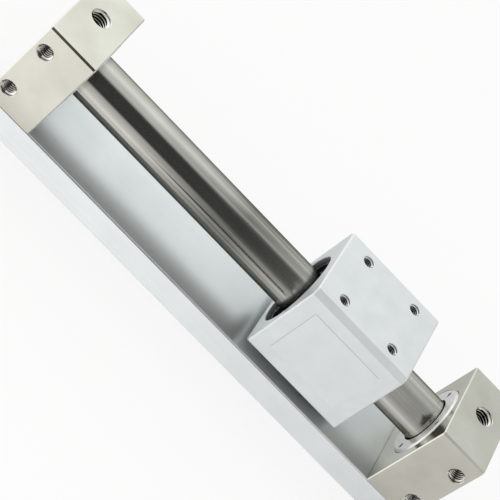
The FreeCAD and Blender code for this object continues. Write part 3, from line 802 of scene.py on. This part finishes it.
@dataclass
class Slider:
    """Slider block with its tapped load holes and the bare label on its front.

    Attributes:
        load_thread: thread of the four holes in its top.
        label_length: length of the label along X.
        label_height: height of the label.
        label_thickness: thickness of its film, half of it sunk in the block.
        label_corner: radius of its corners.
        label_steps: straight steps in each corner.
        label_border: width of its cut edge.
    """

    load_thread: Thread = Thread(diameter=3.0, pitch=0.5, depth=4.5, rim=3.2)
    label_length: float = 20.6
    label_height: float = 16.2
    label_thickness: float = 0.08
    label_corner: float = 0.35
    label_steps: int = 5
    label_border: float = 0.14

    # least upward part of the normal of a face that looks up
    FACE_UP = 0.9

    def build(self) -> None:
        """Taps the load holes and lays on the label."""
        holes = mount("load_holes")
        along = holes["dims"]["spacing_x_mm"] * MM / 2
        across = holes["dims"]["spacing_y_mm"] * MM / 2
        middle = Vector(holes["pos_m"])
        corners = [Vector((x, y, 0.0)) for x in (-along, along) for y in (-across, across)]
        places = [Matrix.Translation(middle + corner) @ UPWARDS for corner in corners]
        self.load_thread.tap(places, "load_hole_thread", Body.SLIDER, CUT_ALUMINIUM, "anodised_slider")
        self.lay_label()

    def lay_label(self) -> None:
        """Models the label as a thin film with round corners and a cut edge, on the block's front."""
        low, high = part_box("slider_body")
        deselect()
        bpy.ops.mesh.primitive_cube_add(size=1.0)
        label = bpy.context.object
        label.name = "bare_label"
        label.data.name = "bare_label"
        bpy.ops.object.mode_set(mode="EDIT")
        size = (self.label_length, self.label_height, self.label_thickness)
        bpy.ops.mesh.select_all(action="SELECT")
        bpy.ops.transform.resize(value=size, center_override=MIDDLE)
        self.round_corners(label)
        self.rule_border(label)
        bpy.ops.object.mode_set(mode="OBJECT")
        label.data.materials.append(LABEL_FILM.material())
        label.data.materials.append(LABEL_RIM_SHADE.material())
        self.paint_border(label)
        middle = Vector(((low.x + high.x) / 2, low.y, (low.z + high.z) / 2))
        settle(label, Matrix.Translation(middle) @ FORWARDS)
        hand_over(label, Body.SLIDER)

    def round_corners(self, label: Piece) -> None:
        """Rounds the four corners of the film.

        Args:
            label: the film as a flat box, in edit mode.
        """
        bpy.ops.mesh.select_mode(type="EDGE")
        bpy.ops.mesh.select_all(action="DESELECT")
        bpy.ops.object.mode_set(mode="OBJECT")
        for edge in label.data.edges:
            first, second = (label.data.vertices[number].co for number in edge.vertices)
            edge.select = abs(first.z - second.z) > self.label_thickness / 2
        bpy.ops.object.mode_set(mode="EDIT")
        bpy.ops.mesh.bevel(offset=self.label_corner, segments=self.label_steps, affect="EDGES")

    def rule_border(self, label: Piece) -> None:
        """Insets the film's face, so that its cut edge is a border of its own.

        Args:
            label: the film, in edit mode.
        """
        bpy.ops.mesh.select_mode(type="FACE")
        bpy.ops.mesh.select_all(action="DESELECT")
        bpy.ops.object.mode_set(mode="OBJECT")
        for face in label.data.polygons:
            face.select = face.normal.z > self.FACE_UP
        bpy.ops.object.mode_set(mode="EDIT")
        bpy.ops.mesh.inset(thickness=self.label_border, depth=0.0)

    def paint_border(self, label: Piece) -> None:
        """Gives the film's upper and left rim the grey of painted shade along a cut edge.

        Args:
            label: the film with its two materials, in object mode.
        """
        for face in label.data.polygons:
            reach = max(-face.center.x - self.label_length / 2, face.center.y - self.label_height / 2)
            face.material_index = 1 if reach > -self.label_border else 0


@dataclass(frozen=True)
class Tent:
    """Round light tent about the tube, which only reflections see.

    Attributes:
        radius: its radius about the tube's axis.
        length: its length along X, with open ends.
        sides: flat sides of its round wall.
        around: glow by the angle about the tube, in degrees from straight up to the front.
        along: share of that glow by the place along X.
        least: least glow by the place along X.
        cool: share of the cooler light by that angle, which comes from above and behind.
        day_colour: sRGB colour of the cooler light.
        lamp_colour: sRGB colour of the rest.
    """

    radius: float = 300.0
    length: float = 1800.0
    sides: int = 128
    around: Stops = (
        (-180.0, 0.85), (-150.0, 0.8), (-132.0, 0.6), (-99.0, 0.66), (-87.0, 0.8), (-63.0, 0.9),
        (-52.0, 0.97), (-40.0, 1.12), (-27.0, 0.94), (-3.0, 0.72), (11.0, 0.5), (17.0, 0.03),
        (75.0, 0.03), (83.0, 0.44), (93.0, 0.6), (105.0, 0.75), (117.0, 0.99), (129.0, 0.95),
        (141.0, 0.8), (153.0, 0.85), (180.0, 0.85),
    )
    along: Stops = (
        (-900.0, 1.45), (-220.0, 1.45), (-110.0, 1.0), (-40.0, 1.0), (25.0, 0.93), (55.0, 0.88),
        (130.0, 0.74), (150.0, 0.64), (200.0, 0.6), (900.0, 0.6),
    )
    least: Stops = (
        (-900.0, 0.7), (-112.0, 0.7), (-86.0, 0.035), (20.0, 0.05), (45.0, 0.1), (65.0, 0.12),
        (100.0, 0.3), (116.0, 0.52), (127.0, 0.42), (132.0, 0.12), (135.0, 0.12), (139.0, 0.55),
        (200.0, 0.6), (900.0, 0.6),
    )
    cool: Stops = ((-180.0, 0.0), (-110.0, 1.0), (-20.0, 1.0), (60.0, 0.0), (180.0, 0.0))
    day_colour: str = "#FBFEFE"
    lamp_colour: str = "#FFFFFF"

    def build(self) -> None:
        """Sets the tent up."""
        deselect()
        bpy.ops.mesh.primitive_cylinder_add(
            vertices=self.sides, radius=self.radius * MM, depth=self.length * MM, end_fill_type="NOTHING",
            rotation=(0.0, math.pi / 2, 0.0), location=(0.0, 0.0, axis_height()),
        )
        tent = bpy.context.object
        tent.name = "light_tent"
        bpy.ops.object.transform_apply(location=True, rotation=True, scale=True)
        tent.data.materials.append(self.cloth())
        for kind in ("camera", "diffuse", "transmission", "volume_scatter", "shadow"):
            setattr(tent, f"visible_{kind}", False)

    def cloth(self) -> bpy.types.Material:
        """Builds the tent's glowing cloth.

        Returns:
            The material.
        """
        made = bpy.data.materials.new("tent_cloth")
        made.use_nodes = True
        tree = made.node_tree
        tree.nodes.remove(tree.nodes["Principled BSDF"])
        place = add_node(tree, "ShaderNodeTexCoord").outputs["Object"]
        angle = add_angle(tree, place)
        around, cool = (add_profile(tree, angle, stops) for stops in (self.around, self.cool))
        along, least = (add_run(tree, place, stops) for stops in (self.along, self.least))
        level = add_node(tree, "ShaderNodeMath", {0: around, 1: along}, operation="MULTIPLY").outputs[0]
        lifted = add_node(tree, "ShaderNodeMath", {0: level, 1: least}, operation="MAXIMUM").outputs[0]
        tones = {0: cool, 6: linear(self.lamp_colour), 7: linear(self.day_colour)}
        tint = add_node(tree, "ShaderNodeMix", tones, data_type="RGBA").outputs[2]
        glow = add_node(tree, "ShaderNodeEmission", {"Color": tint, "Strength": lifted}).outputs[0]
        tree.links.new(glow, tree.nodes["Material Output"].inputs["Surface"])
        return made


@dataclass
class Studio:
    """Plain pale floor with soft light from all round, and a tent for the reflections in the metal.

    Attributes:
        floor_size: length of the floor's sides.
        floor_drop: how far the floor lies under the rail.
        floor_colour: sRGB colour of the floor's paper.
        floor_seen: share of plain white in the floor that the eye sees.
        white_glow: strength of glow that the eye sees as white.
        dome_strength: strength of the light from all round.
        lamp_watts: power of the lamp.
        lamp_size: length of the lamp's sides.
        lamp_place: place of the lamp.
        tent: the tent round the part.
    """

    floor_size: float = 8000.0
    floor_drop: float = 0.02
    floor_colour: str = "#F4F4F3"
    floor_seen: float = 0.7
    white_glow: float = 1.0
    dome_strength: float = 0.92
    lamp_watts: float = 1.5
    lamp_size: float = 900.0
    lamp_place: tuple[float, float, float] = (-250.0, -600.0, 600.0)
    tent: Tent = Tent()

    def build(self) -> None:
        """Sets up the floor, the dome of light, the lamp and the tent."""
        self.lay_floor()
        self.light_dome()
        self.hang_lamp()
        self.tent.build()

    def lay_floor(self) -> None:
        """Lays a large pale floor under the rail."""
        deselect()
        under = (0.0, 0.0, -self.floor_drop * MM)
        bpy.ops.mesh.primitive_plane_add(size=self.floor_size * MM, location=under)
        floor = bpy.context.object
        floor.name = "studio_floor"
        made = bpy.data.materials.new("pale_paper_floor")
        made.use_nodes = True
        tree = made.node_tree
        tree.nodes.remove(tree.nodes["Principled BSDF"])
        paper = add_node(tree, "ShaderNodeBsdfDiffuse", {"Color": linear(self.floor_colour)}).outputs[0]
        glow = add_node(tree, "ShaderNodeEmission", {"Strength": self.white_glow}).outputs[0]
        seen = add_node(tree, "ShaderNodeLightPath").outputs["Is Camera Ray"]
        share = add_node(tree, "ShaderNodeMath", {0: seen, 1: self.floor_seen}, operation="MULTIPLY")
        mixed = add_node(tree, "ShaderNodeMixShader", {0: share.outputs[0], 1: paper, 2: glow}).outputs[0]
        tree.links.new(mixed, tree.nodes["Material Output"].inputs["Surface"])
        floor.data.materials.append(made)
        floor.visible_glossy = False

    def light_dome(self) -> None:
        """Lights the object evenly from the sky, which is white to the eye and in reflections."""
        world = bpy.data.worlds.new("light_dome")
        world.use_nodes = True
        bpy.context.scene.world = world
        tree = world.node_tree
        path = add_node(tree, "ShaderNodeLightPath").outputs
        rays = {0: path["Is Camera Ray"], 1: path["Is Glossy Ray"]}
        direct = add_node(tree, "ShaderNodeMath", rays, operation="MAXIMUM").outputs[0]
        rays = {0: direct, 1: path["Is Transmission Ray"]}
        seen = add_node(tree, "ShaderNodeMath", rays, operation="MAXIMUM").outputs[0]
        span = {"To Min": self.dome_strength, "To Max": self.white_glow}
        strength = add_node(tree, "ShaderNodeMapRange", {"Value": seen, **span}).outputs[0]
        sky = tree.nodes["Background"]
        sky.inputs["Color"].default_value = (1.0, 1.0, 1.0, 1.0)
        tree.links.new(strength, sky.inputs["Strength"])

    def hang_lamp(self) -> None:
        """Hangs one large soft lamp above and in front of the left end."""
        light = bpy.data.lights.new("soft_lamp", "AREA")
        light.shape = "SQUARE"
        light.size = self.lamp_size * MM
        light.energy = self.lamp_watts
        lamp = bpy.data.objects.new("soft_lamp", light)
        bpy.context.scene.collection.objects.link(lamp)
        lamp.location = Vector(self.lamp_place) * MM
        lamp.rotation_euler = (-lamp.location).to_track_quat("-Z", "Y").to_euler()
        lamp.visible_camera = False
        lamp.visible_glossy = False


@dataclass(frozen=True)
class Portrait:
    """The camera, which looks from the front and above and is turned on its side.

    Attributes:
        position: its place.
        downwards: how far it looks down, in degrees.
        heading: how far it looks to the right, in degrees.
        roll: how far it is turned on its side, in degrees.
        lens: its focal length.
        sensor: width of its sensor.
        near: nearest distance that it sees.
    """

    position: tuple[float, float, float] = (-68.93, -340.74, 300.5)
    downwards: float = 38.99
    heading: float = 11.17
    roll: float = 52.97
    lens: float = 140.65
    sensor: float = 36.0
    near: float = 10.0

    def build(self) -> None:
        """Makes the scene's camera."""
        down, heading, roll = (math.radians(angle) for angle in (self.downwards, self.heading, self.roll))
        level = Vector((math.cos(heading), -math.sin(heading), 0.0))
        flat = math.cos(down)
        ahead = Vector((math.sin(heading) * flat, math.cos(heading) * flat, -math.sin(down)))
        above = level.cross(ahead)
        right = level * math.cos(roll) + above * math.sin(roll)
        upright = right.cross(ahead)
        data = bpy.data.cameras.new("portrait")
        data.lens = self.lens
        data.sensor_width = self.sensor
        data.clip_start = self.near * MM
        camera = bpy.data.objects.new("portrait", data)
        bpy.context.scene.collection.objects.link(camera)
        turn = Matrix((right, upright, -ahead)).transposed().to_4x4()
        camera.matrix_world = Matrix.Translation(Vector(self.position) * MM) @ turn
        bpy.context.scene.camera = camera


def main() -> None:
    """Builds the pieces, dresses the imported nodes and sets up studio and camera."""
    logging.basicConfig(level=logging.INFO, format="%(message)s")
    for assembly in (EndCover(Side.LEFT), EndCover(Side.RIGHT), Slider()):
        assembly.build()
    for body in Body:
        dress_nodes(body)
    Studio().build()
    Portrait().build()
    bpy.context.scene.view_settings.view_transform = "Standard"


if __name__ == "__main__":
    main()
